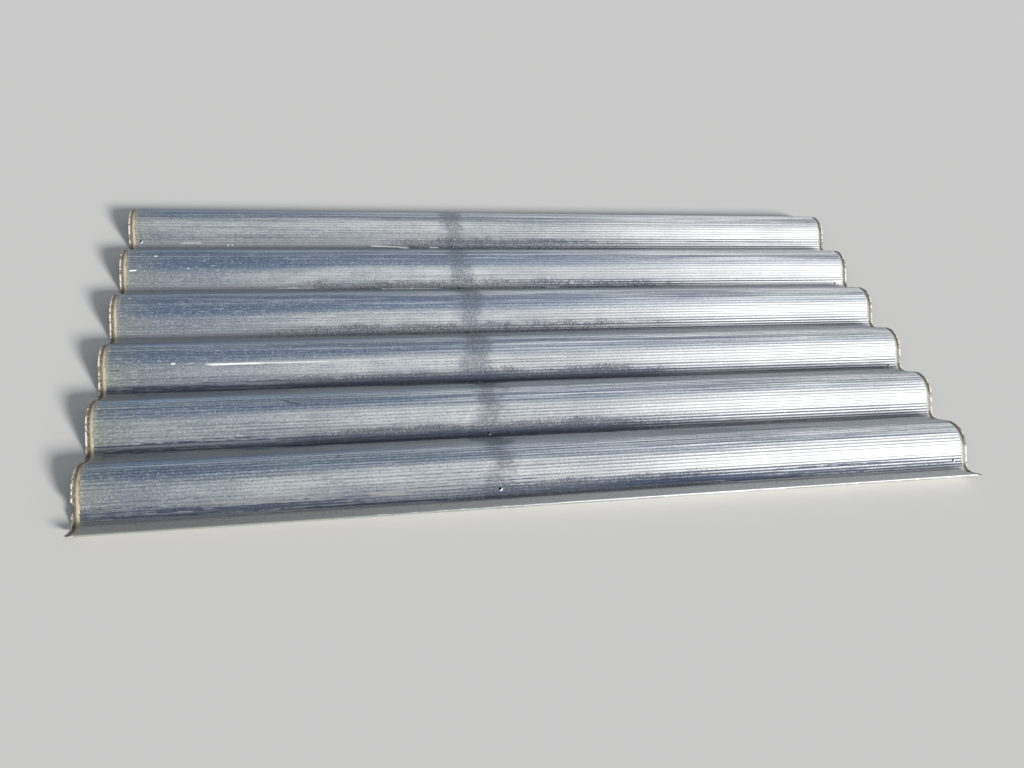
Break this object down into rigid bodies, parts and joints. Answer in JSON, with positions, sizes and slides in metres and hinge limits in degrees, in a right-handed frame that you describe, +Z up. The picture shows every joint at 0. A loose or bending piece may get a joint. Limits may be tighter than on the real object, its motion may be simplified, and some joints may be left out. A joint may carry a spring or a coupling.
{
  "type": "corrugated twin-wall polycarbonate roofing sheet",
  "caption": "Used clear twin-wall polycarbonate roofing sheet with rounded waves, pressed ends and screw holes in its valleys.",
  "frame": {"origin": "on the floor under the middle of the sheet's box, as it lies flat", "axes": "+X along the waves and flutes, +Y across the waves from the front lap to the back edge, +Z up"},
  "size_m": [2.1, 1.1046, 0.0558],
  "materials": {
    "polycarbonate": "clear, aged and dusty, ribbed along the length"
  },
  "bodies": {
    "root": {"corrugated_sheet": "polycarbonate"}
  },
  "joints": []
}
